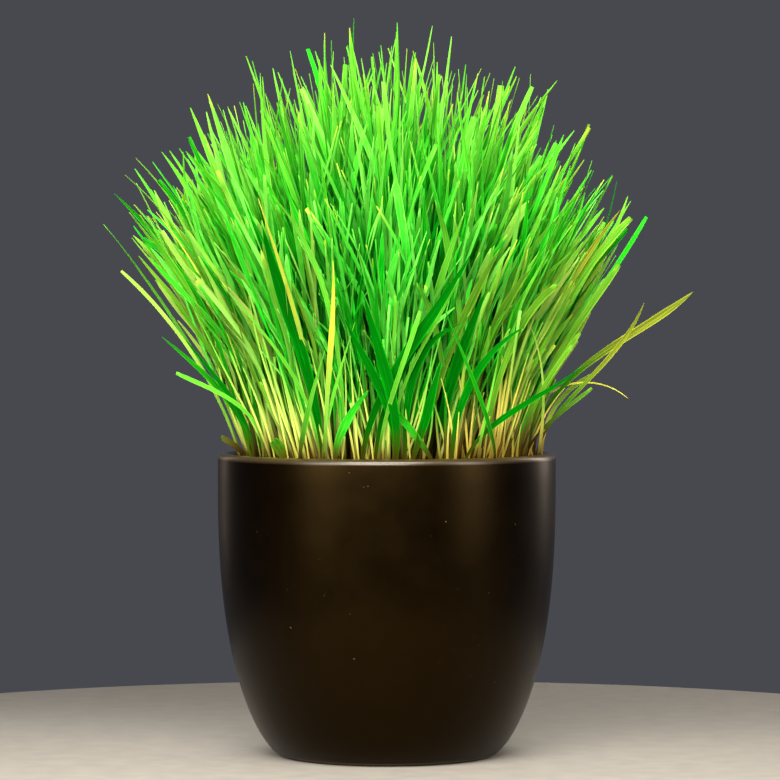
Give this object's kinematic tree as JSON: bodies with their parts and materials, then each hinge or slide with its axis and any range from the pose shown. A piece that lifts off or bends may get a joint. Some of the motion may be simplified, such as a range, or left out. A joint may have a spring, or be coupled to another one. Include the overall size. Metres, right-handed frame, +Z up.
{
  "type": "potted wheatgrass",
  "caption": "Round glazed ceramic pot filled with soil, with a dense domed clump of young wheatgrass fanning out over its rim.",
  "frame": {"origin": "on the pot's axis, in the plane that the foot ring stands on", "axes": "+Z up along the pot's axis; +X to the right and +Y away from the viewer in the front view"},
  "size_m": [0.2292, 0.2152, 0.2912],
  "materials": {
    "pot_glaze": "satin",
    "soil": "matte",
    "seeds": "matte",
    "grass": "satin"
  },
  "bodies": {
    "root": {"pot": "pot_glaze", "soil": "soil", "seed_layer": "seeds", "wheat_tuft_01": "grass", "wheat_tuft_02": "grass", "wheat_tuft_03": "grass", "wheat_tuft_04": "grass", "wheat_tuft_05": "grass", "wheat_tuft_06": "grass", "wheat_tuft_07": "grass", "wheat_tuft_08": "grass", "wheat_tuft_09": "grass", "wheat_tuft_10": "grass", "wheat_tuft_11": "grass", "wheat_tuft_12": "grass", "wheat_tuft_13": "grass", "wheat_tuft_14": "grass", "wheat_tuft_15": "grass", "wheat_tuft_16": "grass", "wheat_tuft_17": "grass", "wheat_tuft_18": "grass", "wheat_tuft_19": "grass", "wheat_tuft_20": "grass", "wheat_tuft_21": "grass", "wheat_tuft_22": "grass", "wheat_tuft_23": "grass", "wheat_tuft_24": "grass", "wheat_tuft_25": "grass", "wheat_tuft_26": "grass", "wheat_tuft_27": "grass", "wheat_tuft_28": "grass", "wheat_tuft_29": "grass", "wheat_tuft_30": "grass", "wheat_tuft_31": "grass", "wheat_tuft_32": "grass", "wheat_tuft_33": "grass", "wheat_tuft_34": "grass", "wheat_tuft_35": "grass", "wheat_tuft_36": "grass", "wheat_tuft_37": "grass", "wheat_tuft_38": "grass", "wheat_tuft_39": "grass", "wheat_tuft_40": "grass", "wheat_tuft_41": "grass", "wheat_tuft_42": "grass"}
  },
  "joints": []
}
